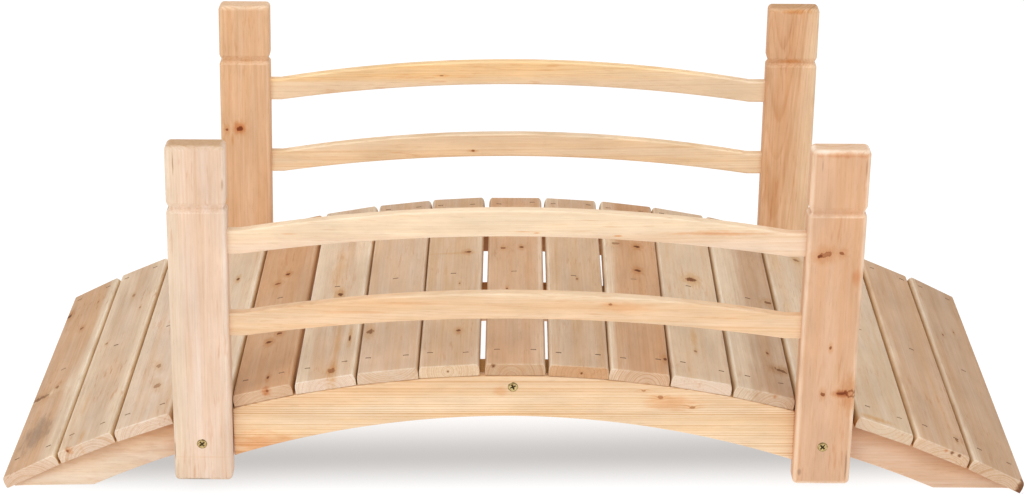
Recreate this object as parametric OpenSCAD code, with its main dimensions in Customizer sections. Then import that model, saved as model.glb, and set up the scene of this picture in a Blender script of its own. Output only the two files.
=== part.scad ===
// Small arched garden footbridge of plain softwood: planks across three bowed
// stringers, and on each side a frame of two posts, two bowed rails and an arch board.
// X runs along the bridge, Y across it and Z up. The origin is on the ground under the crest.

/* [Deck] */
// Radius of the arc that the undersides of the planks lie on
deck_radius = 1600; // [1300:10:2400]
// Number of planks, odd so that one lies on the crest
plank_count = 17; // [13:2:21]
// Width of each plank along the bridge
plank_w = 89; // [70:1:100]
// Space between neighbouring planks, measured on the arc
plank_gap = 3.7; // [3:0.1:12]
// Thickness of each plank
plank_t = 19; // [14:1:28]
// Length of each full plank across the bridge
plank_len = 696; // [560:2:900]
// Radius of the two eased upper edges of each plank
plank_ease = 5; // [2:0.5:8]

/* [Posts] */
// Which plank, counted from either end of the bridge, stops short between the posts
post_plank = 4; // [3:1:5]
// Width of each post along the bridge
post_w = 84; // [60:1:86]
// Thickness of each post across the bridge
post_t = 38; // [30:1:60]
// Length of each post
post_len = 525; // [480:1:640]
// Height of the posts' lower ends above the ground
post_lift = 25; // [10:1:50]
// Radius of the rounded edges of each post
post_round = 7; // [3:0.5:10]
// Distance from the top of a post down to the middle of its groove
groove_drop = 93; // [80:1:97]
// Height of the groove at the surface of the post
groove_h = 15; // [8:1:20]
// Depth of the groove
groove_depth = 5; // [2:0.5:8]

/* [Rails] */
// Height of the lower rails' undersides above the ground, at the posts
rail_low_z = 255; // [230:1:280]
// Height from the lower rail of a side to the upper one
rail_spacing = 128; // [90:1:134]
// Thickness of each rail across the bridge
rail_t = 18; // [12:1:24]
// Height of a rail at its straight ends
rail_end_h = 36; // [28:1:40]
// Height of a rail at its crest
rail_mid_h = 40; // [30:1:46]
// Rise of a rail's underside from its ends to its crest
rail_rise = 29; // [15:1:45]
// Length of the straight stretch at each end of a rail
rail_flat = 22; // [10:1:60]
// How far each rail enters its post
tenon_len = 15; // [8:1:25]

/* [Beams] */
// Depth of each stringer, measured towards the centre of the arc
stringer_h = 55; // [40:1:65]
// Thickness of the two side stringers
side_stringer_t = 48; // [34:1:60]
// Thickness of the middle stringer
middle_stringer_t = 34; // [24:1:60]
// Height of the blunt tips of the stringers
stringer_tip_h = 4; // [3:1:16]
// Thickness of the arch boards that face the side stringers between the posts
arch_board_t = 18; // [12:1:25]
// Height of an arch board at its crest
arch_mid_h = 65; // [55:0.5:80]
// Height of an arch board at the posts
arch_end_h = 77; // [60:0.5:85]

/* [Fits] */
// Clearance of rails in their mortises, and of boards between the posts
fit_gap = 0.3; // [0.1:0.1:0.8]
// Clearance between a post and the planks around it
post_gap = 1; // [0.5:0.1:2]
// Clearance under each plank where it meets the crown of a beam
seat_gap = 0.1; // [0.05:0.05:0.3]

/* [Hidden] */
ARC_FN = 720;
ROUND_FN = 48;
CUT = 1;

// Angle from one plank to the next, and of the last plank, seen from the centre of the arc
plank_step = (plank_w + plank_gap) / deck_radius * 180 / PI;
middle_plank = (plank_count + 1) / 2;
last_angle = plank_step * (plank_count - middle_plank);

// The lower outer edges of the end planks meet the ground
crest_z = deck_radius * (1 - cos(last_angle)) + plank_w / 2 * sin(last_angle);
arc_z = crest_z - deck_radius;
beam_radius = deck_radius - seat_gap;
beam_crest_z = arc_z + beam_radius;

// The posts stand against the side stringers, at the ends of the short planks
post_x = deck_radius * sin(plank_step * (middle_plank - post_plank));
post_side_x = post_x - post_w / 2;
post_in_y = plank_len / 2 - arch_board_t;
post_mid_y = post_in_y + post_t / 2;
post_top_z = post_lift + post_len;
short_plank_len = 2 * (post_in_y - post_gap);

// Height of the beams' upper faces at a distance from the crest
function beam_top_z(x) = arc_z + sqrt(pow(beam_radius, 2) - pow(x, 2));

// Radius of the arc that rises by rise over half its chord
function arc_radius(half_chord, rise) = (pow(half_chord, 2) + pow(rise, 2)) / (2 * rise);

stringer_tip_x = sqrt(pow(beam_radius, 2) - pow(stringer_tip_h - arc_z, 2));
arch_low_crest_z = beam_crest_z - arch_mid_h;
arch_low_rise = arch_low_crest_z - (beam_top_z(post_side_x) - arch_end_h);
arch_low_radius = arc_radius(post_side_x, arch_low_rise);

rail_bow_x = post_side_x - rail_flat;
rail_top_rise = rail_rise + rail_mid_h - rail_end_h;
rail_top_radius = arc_radius(rail_bow_x, rail_top_rise);
rail_low_radius = arc_radius(rail_bow_x, rail_rise);
rail_tip_x = post_side_x + tenon_len;

function plank_name(i) = str("plank_", i < 10 ? "0" : "", i);
PLANKS = [for (i = [1 : plank_count]) plank_name(i)];

// Rectangle centred on the origin, with rounded corners
module rounded_rect(w, h, r) {
    square([w - 2 * r, h], center = true);
    square([w, h - 2 * r], center = true);
    for (x = [-1, 1], y = [-1, 1])
        translate([x * (w / 2 - r), y * (h / 2 - r)]) circle(r = r, $fn = ROUND_FN);
}

// Stands a side view, drawn in X and Z, upright, with its thickness centred on y
module upright(y, thickness)
    translate([0, y, 0]) rotate([90, 0, 0]) linear_extrude(thickness, center = true) children();

// Cross-section of a plank: flat below, its two upper edges eased
module plank_section() {
    translate([-plank_w / 2, 0]) square([plank_w, plank_t - plank_ease]);
    translate([plank_ease - plank_w / 2, 0]) square([plank_w - 2 * plank_ease, plank_t]);
    for (x = [-1, 1])
        translate([x * (plank_w / 2 - plank_ease), plank_t - plank_ease])
            circle(r = plank_ease, $fn = ROUND_FN);
}

// Room that the planks leave around the four posts
module post_room() {
    room = [post_w + 2 * post_gap, post_t + 2 * post_gap, post_len + 2 * CUT];
    for (x = [-1, 1], y = [-1, 1])
        translate([x * post_x, y * post_mid_y, post_top_z - post_len / 2]) cube(room, center = true);
}

// One plank, square to the arc; number 1 is at the left end
module plank(i) {
    short = i == post_plank || i == plank_count + 1 - post_plank;
    color("tan")
        difference() {
            translate([0, 0, arc_z])
                rotate([0, plank_step * (i - middle_plank), 0])
                    translate([0, 0, deck_radius])
                        upright(0, short ? short_plank_len : plank_len) plank_section();
            post_room();
        }
}

// Face of a post of the given width, rounded at its corners and notched for the groove
module post_face(w)
    difference() {
        translate([0, post_top_z - post_len / 2]) rounded_rect(w, post_len, post_round);
        for (side = [-1, 1])
            translate([side * w / 2, post_top_z - groove_drop])
                polygon([[side * CUT, groove_h / 2], [0, groove_h / 2], [-side * groove_depth, 0],
                         [0, -groove_h / 2], [side * CUT, -groove_h / 2]]);
    }

// Pocket in a post for the end of a rail whose underside is at z
module mortise(z)
    translate([post_side_x - CUT, post_mid_y - rail_t / 2 - fit_gap, z - fit_gap])
        cube([tenon_len + fit_gap + CUT, rail_t + 2 * fit_gap, rail_end_h + 2 * fit_gap]);

// One post, on the side of the bridge that the two signs give
module post(x_sign, y_sign)
    color("burlywood")
        mirror([x_sign < 0 ? 1 : 0, 0, 0])
            mirror([0, y_sign < 0 ? 1 : 0, 0])
                difference() {
                    translate([post_x, post_mid_y, 0])
                        intersection() {
                            upright(0, post_t) post_face(post_w);
                            rotate([0, 0, 90]) upright(0, post_w) post_face(post_t);
                            translate([0, 0, post_lift])
                                linear_extrude(post_len) rounded_rect(post_w, post_t, post_round);
                        }
                    mortise(rail_low_z);
                    mortise(rail_low_z + rail_spacing);
                }

module front_left_post() post(-1, -1);
module front_right_post() post(1, -1);
module back_left_post() post(-1, 1);
module back_right_post() post(1, 1);

// Side view of a rail: straight ends, with bowed edges between them
module rail_face(z)
    difference() {
        union() {
            translate([-rail_tip_x, z]) square([2 * rail_tip_x, rail_end_h]);
            intersection() {
                translate([-rail_bow_x, z]) square([2 * rail_bow_x, rail_end_h + rail_top_rise + CUT]);
                translate([0, z + rail_end_h + rail_top_rise - rail_top_radius])
                    circle(r = rail_top_radius, $fn = ARC_FN);
            }
        }
        intersection() {
            translate([-rail_bow_x, z - CUT]) square([2 * rail_bow_x, rail_rise + 2 * CUT]);
            translate([0, z + rail_rise - rail_low_radius]) circle(r = rail_low_radius, $fn = ARC_FN);
        }
    }

module rail(y_sign, z)
    color("wheat") upright(y_sign * post_mid_y, rail_t) rail_face(z);

module front_upper_rail() rail(-1, rail_low_z + rail_spacing);
module front_lower_rail() rail(-1, rail_low_z);
module back_upper_rail() rail(1, rail_low_z + rail_spacing);
module back_lower_rail() rail(1, rail_low_z);

// Side view of an arch board: its upper edge on the arc of the beams, its lower edge more bowed
module arch_face() {
    half_len = post_side_x - fit_gap;
    intersection() {
        difference() {
            translate([0, arc_z]) circle(r = beam_radius, $fn = ARC_FN);
            translate([0, arch_low_crest_z - arch_low_radius])
                circle(r = arch_low_radius, $fn = ARC_FN);
        }
        translate([-half_len, 0]) square([2 * half_len, crest_z]);
    }
}

module arch_board(y_sign)
    color("navajowhite") upright(y_sign * (plank_len - arch_board_t) / 2, arch_board_t) arch_face();

module front_arch_board() arch_board(-1);
module back_arch_board() arch_board(1);

// Side view of a stringer: a bow with flat feet on the ground and blunt tips
module stringer_face()
    intersection() {
        translate([0, arc_z])
            difference() {
                circle(r = beam_radius, $fn = ARC_FN);
                circle(r = deck_radius - stringer_h, $fn = ARC_FN);
            }
        translate([-stringer_tip_x, 0]) square([2 * stringer_tip_x, crest_z]);
    }

module stringer(y, thickness)
    color("peru") upright(y, thickness) stringer_face();

module front_stringer() stringer(side_stringer_t / 2 - post_in_y, side_stringer_t);
module middle_stringer() stringer(0, middle_stringer_t);
module back_stringer() stringer(post_in_y - side_stringer_t / 2, side_stringer_t);

for (i = [1 : plank_count])
    plank(i);
front_left_post();
front_right_post();
back_left_post();
back_right_post();
front_upper_rail();
front_lower_rail();
back_upper_rail();
back_lower_rail();
front_arch_board();
back_arch_board();
front_stringer();
middle_stringer();
back_stringer();
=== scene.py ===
"""Looks of a small arched garden footbridge: sawn softwood boards, pan-head screws and staples.

Metres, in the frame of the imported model: X runs along the bridge, Y across it and Z up.
"""

import math
import random
from collections import namedtuple

import bmesh
import bpy
from mathutils import Matrix, Vector


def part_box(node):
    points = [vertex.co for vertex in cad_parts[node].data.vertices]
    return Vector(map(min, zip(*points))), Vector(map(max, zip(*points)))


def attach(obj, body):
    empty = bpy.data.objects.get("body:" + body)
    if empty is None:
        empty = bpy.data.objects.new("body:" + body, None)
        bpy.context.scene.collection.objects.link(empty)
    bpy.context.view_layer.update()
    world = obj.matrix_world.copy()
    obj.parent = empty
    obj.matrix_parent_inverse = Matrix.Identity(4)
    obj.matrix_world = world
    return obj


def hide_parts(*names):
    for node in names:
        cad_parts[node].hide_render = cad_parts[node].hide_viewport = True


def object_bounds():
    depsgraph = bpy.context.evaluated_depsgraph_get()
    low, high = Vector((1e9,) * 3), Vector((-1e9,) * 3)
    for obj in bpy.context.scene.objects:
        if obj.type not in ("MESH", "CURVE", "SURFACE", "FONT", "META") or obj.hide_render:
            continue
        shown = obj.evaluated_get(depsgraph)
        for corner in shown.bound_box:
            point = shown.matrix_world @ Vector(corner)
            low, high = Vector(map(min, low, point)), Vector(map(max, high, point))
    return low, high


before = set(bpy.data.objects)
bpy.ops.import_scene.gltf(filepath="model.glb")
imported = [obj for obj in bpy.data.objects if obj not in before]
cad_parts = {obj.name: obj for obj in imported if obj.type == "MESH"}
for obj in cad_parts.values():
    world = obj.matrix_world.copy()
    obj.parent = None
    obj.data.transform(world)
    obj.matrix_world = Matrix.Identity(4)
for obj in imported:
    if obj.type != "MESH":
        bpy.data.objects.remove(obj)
CAD_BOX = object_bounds()

# Sizes read from the frame
PLANK_LOW, PLANK_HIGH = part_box("plank_09")
PLANK_W = PLANK_HIGH.x - PLANK_LOW.x
PLANK_T = PLANK_HIGH.z - PLANK_LOW.z
DECK_DEPTH = PLANK_HIGH.y - PLANK_LOW.y
DECK_END_X = CAD_BOX[1][0]
CREST_Z = PLANK_LOW.z
PLANK_COUNT = sum(name.startswith("plank_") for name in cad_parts)
MIDDLE_PLANK = (PLANK_COUNT + 1) // 2
POST_LOW, POST_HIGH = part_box("front_right_post")
POST_X = (POST_LOW.x + POST_HIGH.x) / 2
POST_SIDE_X = POST_LOW.x
POST_FACE_Y = -POST_LOW.y

# Sizes that the boxes don't give
DECK_RADIUS = 1.600
PLANK_GAP = 0.0037
PLANK_STEP = (PLANK_W + PLANK_GAP) / DECK_RADIUS
ARC_Z = CREST_Z - DECK_RADIUS
POST_ROUND = 0.0075
GROOVE_DROP = 0.095
GROOVE_ABOVE = 0.0095
GROOVE_BELOW = 0.0055
GROOVE_DEPTH = 0.0045
GROOVE_LIP = 0.0005
RAIL_END_H = 0.036
RAIL_MID_H = 0.040
RAIL_RISE = 0.029
RAIL_FLAT = 0.022
STRINGER_H = 0.055
FOOT_X = 0.6285
ARCH_MID_H = 0.065
ARCH_END_H = 0.077

# How this bridge strays from true: its arch boards' lower edges run down at the right, its front stringer
# turns outwards at the left foot, and the far corner of its right ramp is lifted
ARCH_SLIP = 0.0030
FOOT_SWAY = 0.008
SWAY_START_X = POST_X + 0.08
SWAY_RUN = 0.2
FAR_RISE = 0.0110

# How the boards are finished. The planks' upper edges are eased further down than across, and the planks
# are cut fuller than their solids, so that the gaps are wide above and narrow below.
PLANK_EASE = 0.0052
PLANK_EASE_DEPTH = 0.0120
PLANK_FULL = 0.0013
PLANK_END_EASE = 0.0020
PLANK_LOW_EASE = 0.0008
PLANK_TRIM = 0.0022
PLANK_WOBBLE = 0.0002
PLANK_STATIONS = 24
BOARD_EASE = 0.0030
BOARD_END = 0.004
ROUND_STEPS = 5
SHARP_ANGLE = math.radians(38)
# Distance of the points that keep a face flat beside a rounding
SUPPORT = 0.0003
# Flank mark at the lower end of an upper rounding, and what moves the arris up a deep rounding
BROW = 0.2
DEEP_ARRIS = 0.6

# Fastenings
SCREW_R = 0.0080
SCREW_H = 0.0019
SCREW_SUNK = 0.0005
SCREW_RINGS, SCREW_TURNS = 36, 144
DOME_FLATNESS, DOME_SHOULDER = 2.2, 0.6
RECESS_R = 0.0045
RECESS_HALF_W = 0.0011
RECESS_DEPTH = 0.0012
RECESS_WALL = 0.0007
POST_SCREW_Z = 0.086
POST_SCREW_SHIFT = -0.0023
ARCH_SCREW_Z = 0.1715
ARCH_SCREW_X = -0.0018
STAPLE_LEN = 0.0086
STAPLE_R = 0.0008
STAPLE_TIP_R = 0.0013
STAPLE_FLATNESS = 0.8
STAPLE_SIDES = 8
STAPLE_PAIR = (-0.027, 0.027)
STAPLE_ROWS = {-0.299: STAPLE_PAIR, 0.008: (0.0,), 0.318: STAPLE_PAIR}
STAPLE_STRAY, STAPLE_ROW_STRAY = 0.003, 0.006
STAPLE_TURN = math.radians(9)

SEED = 11


def srgb(red, green, blue):
    """Linear colour of an sRGB one given from 0 to 255."""
    def linear(c):
        c /= 255
        return c / 12.92 if c <= 0.04045 else ((c + 0.055) / 1.055) ** 2.4
    return (linear(red), linear(green), linear(blue), 1.0)


# Meshes

# radii are how far the four roundings reach across, and depths how far through, where that differs
Section = namedtuple("Section", "along low high radii rim end depths", defaults=(None,))


def inset(section, along, sides, top, bottom, rim, end):
    """The same section, drawn in from its four sides."""
    edges = (top, top, bottom, bottom)

    def drawn_in(reaches):
        return [max(reach - min(sides, edge), SUPPORT) for reach, edge in zip(reaches, edges)]

    low = (section.low[0] + sides, section.low[1] + bottom)
    high = (section.high[0] - sides, section.high[1] - top)
    depths = section.depths and drawn_in(section.depths)
    return Section(along, low, high, drawn_in(section.radii), rim, end, depths)


def rounded_outline(section):
    """Points (u, v, arris, flank) round a rectangle with rounded corners; a support point ends each rounding.

    arris is 1 in the middle of a rounding, or nearer the top of a deep one, and flank grows to 1 down a side.
    """
    def support(point, turn, way, flank):
        u, v = point[:2]
        return (u + way * SUPPORT * math.sin(turn), v - way * SUPPORT * math.cos(turn), 0.0, flank)

    depths = section.depths or section.radii
    bias = DEEP_ARRIS if section.depths else 1.0
    (u0, v0), (u1, v1) = section.low, section.high
    corners = [(u1, v1, -1, -1, 0, (BROW, 0)), (u0, v1, 1, -1, 90, (0, BROW)),
               (u0, v0, 1, 1, 180, (1, 0)), (u1, v0, -1, 1, 270, (0, 1))]
    points = []
    for (u, v, to_u, to_v, start, (flank, next_flank)), r, d in zip(corners, section.radii, depths):
        cu, cv = u + to_u * r, v + to_v * d
        shares = [k / ROUND_STEPS for k in range(ROUND_STEPS + 1)]
        turns = [math.radians(start + 90 * share) for share in shares]
        arc = []
        for share, a in zip(shares, turns):
            down = 1 - share if flank == BROW else share
            arc.append((cu + r * math.cos(a), cv + d * math.sin(a), math.sin(math.pi * down ** bias),
                        flank + (next_flank - flank) * share))
        points += [support(arc[0], turns[0], 1, flank), *arc, support(arc[-1], turns[-1], -1, next_flank)]
    return points


def eased_ends(sections, reach, sides, top, bottom):
    """Adds the rounding of both ends to a board's sections, which run from its low end to its high one."""
    def rounding(section, way):
        stations = []
        for k in range(ROUND_STEPS + 1):
            turn = math.pi / 2 * k / ROUND_STEPS
            away = 1 - math.cos(turn)
            along = section.along - way * reach * (1 - math.sin(turn))
            # rim peaks halfway round each end rounding, for the pale edge: partly wear, partly a painted
            # highlight
            stations.append(inset(section, along, sides * away, top * away, bottom * away,
                                  math.sin(2 * turn), turn / (math.pi / 2)))
        cap = inset(section, section.along, sides + SUPPORT, top + SUPPORT, bottom + SUPPORT, 0, 1)
        return stations + [cap]

    first, last = sections[0], sections[-1]
    return rounding(first, -1)[::-1] + list(sections[1:-1]) + rounding(last, 1)


def tube_faces(count, rings):
    """Faces of a closed tube of rings of points: its two ends, then the bands between the rings."""
    last = (rings - 1) * count
    faces = [tuple(range(count)), tuple(range(last, last + count))]
    for start in range(0, last, count):
        for k in range(count):
            n = (k + 1) % count
            faces.append((start + k, start + n, start + count + n, start + count + k))
    return faces


def solid_mesh(name, points, faces, marks):
    """A mesh with its faces outwards, smooth but for sharp edges. marks are its points' numbers, by name."""
    mesh = bpy.data.meshes.new(name)
    mesh.from_pydata(points, [], faces)
    for label, values in marks.items():
        mesh.attributes.new(label, "FLOAT", "POINT").data.foreach_set("value", values)
    bm = bmesh.new()
    bm.from_mesh(mesh)
    bmesh.ops.recalc_face_normals(bm, faces=bm.faces)
    bm.to_mesh(mesh)
    bm.free()
    mesh.polygons.foreach_set("use_smooth", [True] * len(mesh.polygons))
    mesh.set_sharp_from_angle(angle=SHARP_ANGLE)
    mesh.update()
    return mesh


def keep_vectors(mesh, label, vectors):
    """Stores one vector a point under a name."""
    values = [part for vector in vectors for part in vector]
    mesh.attributes.new(label, "FLOAT_VECTOR", "POINT").data.foreach_set("vector", values)


def board_mesh(name, sections, axes, origin):
    """Closed mesh through the sections. axes are the board's across, through and along directions.

    Each point keeps its place in the board (grain), how far it is on a rounded edge (arris), on an end (end),
    down a side (flank) and across the board (rise).
    """
    across, through, along = (Vector(axis) for axis in axes)
    points, grain = [], []
    marks = {"arris": [], "end": [], "flank": [], "rise": []}
    for section in sections:
        for u, v, edge, flank in rounded_outline(section):
            points.append(Vector(origin) + across * u + through * v + along * section.along)
            grain.append((u, v, section.along))
            marks["arris"].append(max(edge * (1 - section.end), section.rim))
            marks["end"].append(section.end)
            marks["flank"].append(flank * (1 - section.end))
            marks["rise"].append((u - section.low[0]) / (section.high[0] - section.low[0]))
    faces = tube_faces(len(points) // len(sections), len(sections))
    mesh = solid_mesh(name, points, faces, marks)
    keep_vectors(mesh, "grain", grain)
    return mesh


def new_object(name, data):
    """An object in the scene, at the origin."""
    obj = bpy.data.objects.new(name, data)
    bpy.context.scene.collection.objects.link(obj)
    return obj


def piece(obj, material, slot, *nodes):
    """Finishes a piece of the bridge: its material, its body and the nodes that it stands for."""
    if material is not None:
        obj.data.materials.clear()
        obj.data.materials.append(material)
    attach(obj, "root")
    if nodes:
        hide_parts(*nodes)


# Node trees

class Nodes:
    """Adds nodes to one tree. A value given for an input is set, and an output given for it is linked."""

    def __init__(self, tree):
        self.tree = tree

    def fill(self, socket, value):
        if isinstance(value, bpy.types.NodeSocket):
            self.tree.links.new(value, socket)
        else:
            socket.default_value = value

    def add(self, kind, inputs=None, **settings):
        node = self.tree.nodes.new(kind)
        for name, value in settings.items():
            setattr(node, name, value)
        for key, value in (inputs or {}).items():
            self.fill(node.inputs[key], value)
        return node

    def math(self, operation, *values, clamp=False):
        inputs = dict(enumerate(values))
        return self.add("ShaderNodeMath", inputs, operation=operation, use_clamp=clamp).outputs[0]

    def plus(self, first, second):
        return self.math("ADD", first, second)

    def minus(self, first, second):
        return self.math("SUBTRACT", first, second)

    def times(self, first, second):
        return self.math("MULTIPLY", first, second)

    def over(self, first, second):
        return self.math("DIVIDE", first, second)

    def vector(self, operation, *values):
        return self.add("ShaderNodeVectorMath", dict(enumerate(values)), operation=operation).outputs[0]

    def stretched(self, vector, factors):
        return self.vector("MULTIPLY", vector, factors)

    def scaled(self, vector, factor):
        inputs = {"Vector": vector, "Scale": factor}
        return self.add("ShaderNodeVectorMath", inputs, operation="SCALE").outputs[0]

    def length(self, vector):
        return self.add("ShaderNodeVectorMath", {"Vector": vector}, operation="LENGTH").outputs["Value"]

    def joined(self, parts):
        return self.add("ShaderNodeCombineXYZ", parts).outputs[0]

    def split(self, vector):
        return self.add("ShaderNodeSeparateXYZ", {0: vector}).outputs

    def step(self, value, low, high, to_low=0.0, to_high=1.0):
        """Smooth step of a value from low to high."""
        inputs = {"Value": value, "From Min": low, "From Max": high, "To Min": to_low, "To Max": to_high}
        return self.add("ShaderNodeMapRange", inputs, interpolation_type="SMOOTHSTEP").outputs[0]

    def mix(self, factor, first, second):
        node = self.add("ShaderNodeMix", data_type="RGBA")
        for socket, value in zip((node.inputs[0], node.inputs[6], node.inputs[7]), (factor, first, second)):
            self.fill(socket, value)
        return node.outputs[2]

    def around_one(self, value, strength):
        """A value about one half, made a factor about one."""
        return self.plus(1.0, self.times(self.minus(value, 0.5), strength))

    def absorbed(self, colour, tint, amount):
        """A colour darkened towards a tint, channel by channel, so that thin layers keep its warmth."""
        layer = {k: self.math("POWER", part, amount) for k, part in enumerate(self.split(tint))}
        return self.stretched(colour, self.joined(layer))

    def noise(self, vector, detail=2.0, roughness=0.5):
        inputs = {"Vector": vector, "Scale": 1.0, "Detail": detail, "Roughness": roughness}
        return self.add("ShaderNodeTexNoise", inputs).outputs

    def mark(self, name):
        return self.add("ShaderNodeAttribute", attribute_name=name).outputs["Fac"]

    def group(self, tree, inputs):
        node = self.add("ShaderNodeGroup", node_tree=tree)
        for key, value in inputs.items():
            self.fill(node.inputs[key], value)
        return node.outputs


SOCKETS = {"float": "NodeSocketFloat", "vector": "NodeSocketVector", "colour": "NodeSocketColor",
           "geometry": "NodeSocketGeometry", "material": "NodeSocketMaterial", "object": "NodeSocketObject",
           "int": "NodeSocketInt"}


def new_group(name, kind, inputs, outputs):
    """An empty node group with named sockets: its Nodes helper, its inputs and its outputs."""
    tree = bpy.data.node_groups.new(name, kind)
    for way, sockets in (("INPUT", inputs), ("OUTPUT", outputs)):
        for label, socket in sockets.items():
            tree.interface.new_socket(name=label, in_out=way, socket_type=SOCKETS[socket])
    given = tree.nodes.new("NodeGroupInput").outputs
    result = tree.nodes.new("NodeGroupOutput").inputs
    return Nodes(tree), given, result


def new_material(name):
    """A plain material, its Nodes helper and its shader."""
    material = bpy.data.materials.new(name)
    material.use_nodes = True
    return material, Nodes(material.node_tree), material.node_tree.nodes["Principled BSDF"]


# What the layers of the wood's surface take from the light, then the tints of its painted highlight and
# painted shade
LATE_WOOD = (0.80, 0.64, 0.47)
STREAKS = (1.8, 2.7, 4.5)
FLECKS = (0.84, 0.64, 0.50)
PORES = (0.72, 0.62, 0.50)
# Pale edges: partly wear, partly a painted highlight where the rounded edges catch the light
EDGE_WEAR_AND_HIGHLIGHT = (1.16, 1.34, 1.53)
# Painted shade down the planks' sides in their gaps: a golden band below the upper rounding, then darker
# deeper down
PAINTED_BROW_SHADE = (0.80, 0.62, 0.38)
PAINTED_GAP_SHADE = (0.78, 0.62, 0.44)
# Painted shadow under the planks' overhang, down the beams' faces from their upper edge
PAINTED_EAVE_SHADE = (0.72, 0.52, 0.38)
# Painted shade, golden, on the stringers' tops under the planks
PAINTED_TOP_SHADE = (0.98, 0.96, 0.50)

WOOD_SHEEN = 0.25
GRAIN_BUMP = 0.5
GRAIN_RELIEF = 0.0007


def growth_rings_group():
    """Late wood of the yearly rings round a pith that leans and wanders a little."""
    n, given, result = new_group(
        "Growth rings", "ShaderNodeTree",
        {"Place": "vector", "Pith": "vector", "Lean": "vector", "Ring width": "float", "Swirl": "float",
         "Wander": "float", "Seed": "float"},
        {"Late wood": "float", "Radius": "float"})
    from_pith = n.vector("SUBTRACT", given["Place"], given["Pith"])
    along = n.split(from_pith)[2]
    upright = n.vector("SUBTRACT", from_pith, n.scaled(given["Lean"], along))
    shift = n.joined({0: given["Seed"], 2: given["Seed"]})
    wave_place = n.vector("ADD", n.stretched(upright, (11.0, 11.0, 2.4)), shift)
    wave = n.vector("SUBTRACT", n.noise(wave_place)["Color"], (0.5, 0.5, 0.5))
    bent = n.vector("ADD", upright, n.scaled(wave, given["Wander"]))
    radius = n.plus(n.length(n.stretched(bent, (1.0, 1.0, 0.0))), given["Swirl"])
    years = n.over(radius, given["Ring width"])
    year_place = n.plus(n.times(years, 0.45), given["Seed"])
    uneven = n.add("ShaderNodeTexNoise", {"W": year_place, "Scale": 1.0, "Detail": 1.0},
                   noise_dimensions="1D").outputs[0]
    years = n.plus(years, n.times(uneven, 2.2))
    season = n.math("FRACT", years)
    late = n.times(n.step(season, 0.42, 0.88), n.step(season, 0.90, 1.0, 1.0, 0.0))
    vigour = n.add("ShaderNodeTexWhiteNoise", {"W": n.math("FLOOR", years)}, noise_dimensions="1D").outputs[0]
    n.fill(result["Late wood"], n.times(late, n.step(vigour, 0.0, 1.0, 0.4, 1.0)))
    n.fill(result["Radius"], radius)
    return n.tree


def fibres_group():
    """Fine streaks, broad bands, cloudy patches, flecks and short pores, all drawn out along the grain."""
    n, given, result = new_group(
        "Fibres", "ShaderNodeTree", {"Place": "vector", "Seed": "float"},
        {"Streak": "float", "Band": "float", "Cloud": "float", "Fleck": "float", "Pore": "float"})
    shift = n.joined({0: given["Seed"], 1: given["Seed"]})

    def drawn_out(across, along, detail=2.0, roughness=0.5):
        place = n.vector("ADD", n.stretched(given["Place"], (across, across, along)), shift)
        return n.noise(place, detail, roughness)[0]

    fleck = n.times(n.step(drawn_out(250.0, 24.0), 0.56, 0.70), n.step(drawn_out(15.0, 6.0), 0.47, 0.62))
    n.fill(result["Streak"], drawn_out(340.0, 9.0, 4.0, 0.65))
    n.fill(result["Band"], drawn_out(60.0, 2.6, 4.0, 0.6))
    n.fill(result["Cloud"], drawn_out(26.0, 9.0, 4.0, 0.6))
    n.fill(result["Fleck"], fleck)
    n.fill(result["Pore"], n.step(drawn_out(900.0, 45.0, 1.0), 0.62, 0.74))
    return n.tree


def knot_group():
    """One knot, added to those before it: its dark core, its halo and how far it pushes the rings aside."""
    n, given, result = new_group(
        "Knot", "ShaderNodeTree",
        {"Place": "vector", "Centre": "vector", "Wide": "float", "Long": "float", "Darkness": "float",
         "Hollow": "float", "Tilt": "float", "Core": "float", "Halo": "float", "Swirl": "float"},
        {"Core": "float", "Halo": "float", "Swirl": "float"})
    away = n.vector("SUBTRACT", given["Place"], given["Centre"])
    away = n.add("ShaderNodeVectorRotate", {"Vector": away, "Angle": given["Tilt"]},
                 rotation_type="Y_AXIS").outputs[0]
    rough = n.noise(n.stretched(given["Place"], (240.0, 240.0, 110.0)))[0]
    ragged = n.times(n.minus(rough, 0.5), 1.4)
    across, _, along = n.split(away)
    wide = n.over(across, given["Wide"])
    long = n.over(along, given["Long"])
    flat = n.length(n.joined({0: wide, 1: long}))
    reach = n.plus(flat, ragged)
    hollow = n.times(given["Hollow"], n.step(reach, 0.45, 0.8, 1.0, 0.0))
    core = n.times(n.step(reach, 0.55, 1.0, 1.0, 0.0), n.minus(1.0, hollow))
    drawn = n.length(n.joined({0: wide, 1: n.over(long, 2.2)}))
    halo = n.step(n.plus(drawn, ragged), 0.4, 2.2, 1.0, 0.0)
    push = n.over(n.times(given["Wide"], 2.0), n.plus(1.0, n.math("POWER", flat, 2.0)))
    n.fill(result["Core"], n.math("MAXIMUM", n.times(core, given["Darkness"]), given["Core"]))
    n.fill(result["Halo"], n.math("MAXIMUM", n.times(halo, given["Darkness"]), given["Halo"]))
    n.fill(result["Swirl"], n.plus(push, given["Swirl"]))
    return n.tree


def stain_group():
    """Soft ragged patch of another tone, drawn out along or across the grain."""
    n, given, result = new_group(
        "Stain", "ShaderNodeTree", {"Place": "vector", "Centre": "vector", "Reach": "vector"},
        {"Mask": "float"})
    away = n.vector("DIVIDE", n.vector("SUBTRACT", given["Place"], given["Centre"]), given["Reach"])
    ragged = n.noise(n.stretched(given["Place"], (130.0, 130.0, 30.0)), 3.0, 0.6)[0]
    reach = n.plus(n.length(away), n.times(n.minus(ragged, 0.5), 1.6))
    n.fill(result["Mask"], n.step(reach, 0.1, 1.1, 1.0, 0.0))
    return n.tree


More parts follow.
